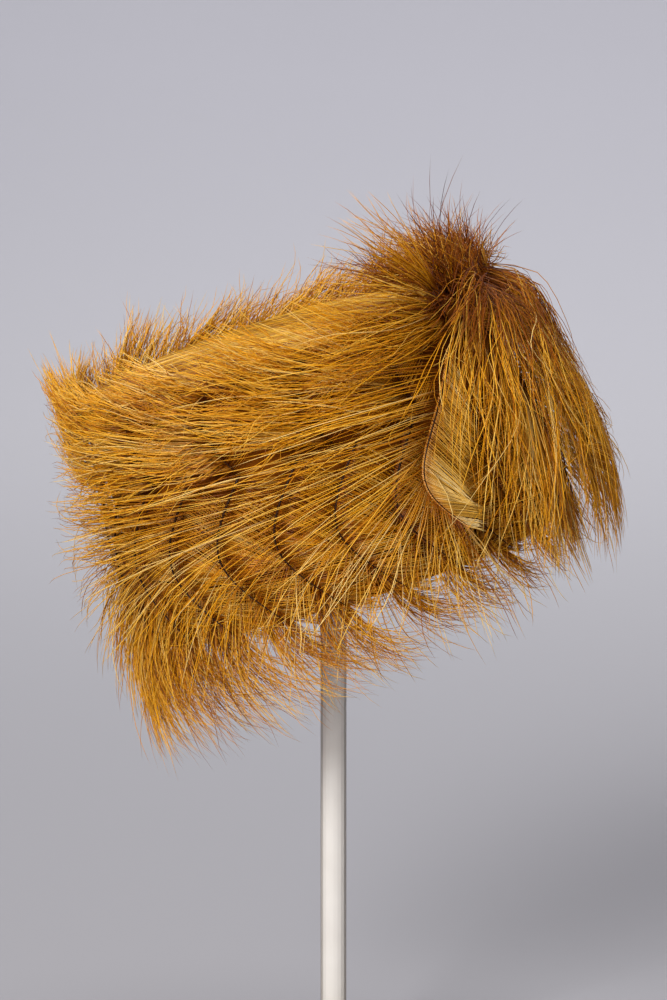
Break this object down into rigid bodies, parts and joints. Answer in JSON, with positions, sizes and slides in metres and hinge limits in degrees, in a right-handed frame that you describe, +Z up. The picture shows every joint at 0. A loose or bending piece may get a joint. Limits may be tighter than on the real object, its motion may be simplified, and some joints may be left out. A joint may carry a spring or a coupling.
{
  "type": "feather hat on stand",
  "caption": "Oval drum-shaped feather toque, long gold flues swept round the wall over hooked dark quills, tilted on a round acrylic pole with a disc base.",
  "frame": {"origin": "centre of the underside of the stand's base", "axes": "+Z up along the pole, the front of the hat faces -Y, the raised end of the crown points to +X"},
  "size_m": [0.2685, 0.2269, 0.4509],
  "materials": {
    "dyed_feather_gold": "dyed feather flues, gold brown, soft sheen",
    "dyed_feather_straw": "smooth dyed feather web, pale straw gold",
    "dyed_feather_rust": "dyed feather flues, dark rust brown",
    "foundation_felt": "stiff brown felt, matte",
    "cast_acrylic": "frosted clear acrylic, pale warm grey"
  },
  "bodies": {
    "root": {"lower_feather_01": "dyed_feather_gold", "lower_feather_02": "dyed_feather_gold", "lower_feather_03": "dyed_feather_gold", "lower_feather_04": "dyed_feather_gold", "lower_feather_05": "dyed_feather_gold", "lower_feather_06": "dyed_feather_gold", "lower_feather_07": "dyed_feather_gold", "lower_feather_08": "dyed_feather_gold", "lower_feather_09": "dyed_feather_gold", "lower_feather_10": "dyed_feather_gold", "lower_feather_11": "dyed_feather_gold", "lower_feather_12": "dyed_feather_gold", "lower_feather_13": "dyed_feather_gold", "lower_feather_14": "dyed_feather_gold", "lower_feather_15": "dyed_feather_gold", "lower_feather_16": "dyed_feather_gold", "lower_feather_17": "dyed_feather_gold", "lower_feather_18": "dyed_feather_gold", "lower_feather_19": "dyed_feather_gold", "lower_feather_20": "dyed_feather_gold", "lower_feather_21": "dyed_feather_gold", "lower_feather_22": "dyed_feather_gold", "lower_feather_23": "dyed_feather_gold", "lower_feather_24": "dyed_feather_gold", "upper_feather_01": "dyed_feather_gold", "upper_feather_02": "dyed_feather_gold", "upper_feather_03": "dyed_feather_gold", "upper_feather_04": "dyed_feather_gold", "upper_feather_05": "dyed_feather_gold", "upper_feather_06": "dyed_feather_gold", "upper_feather_07": "dyed_feather_gold", "upper_feather_08": "dyed_feather_gold", "upper_feather_09": "dyed_feather_gold", "upper_feather_10": "dyed_feather_gold", "upper_feather_11": "dyed_feather_gold", "edge_feather": "dyed_feather_gold", "front_feather": "dyed_feather_gold", "end_feather_1": "dyed_feather_gold", "end_feather_2": "dyed_feather_gold", "end_feather_3": "dyed_feather_gold", "crown_feather_1": "dyed_feather_straw", "crown_feather_2": "dyed_feather_straw", "crown_feather_3": "dyed_feather_straw", "crown_feather_4": "dyed_feather_straw", "crown_feather_5": "dyed_feather_straw", "crown_feather_6": "dyed_feather_straw", "crest_tuft_1": "dyed_feather_rust", "crest_tuft_2": "dyed_feather_rust", "crest_tuft_3": "dyed_feather_rust", "crest_tuft_4": "dyed_feather_rust", "hat_foundation": "foundation_felt", "stand_base": "cast_acrylic", "stand_pole": "cast_acrylic", "stand_plate": "cast_acrylic"}
  },
  "joints": []
}
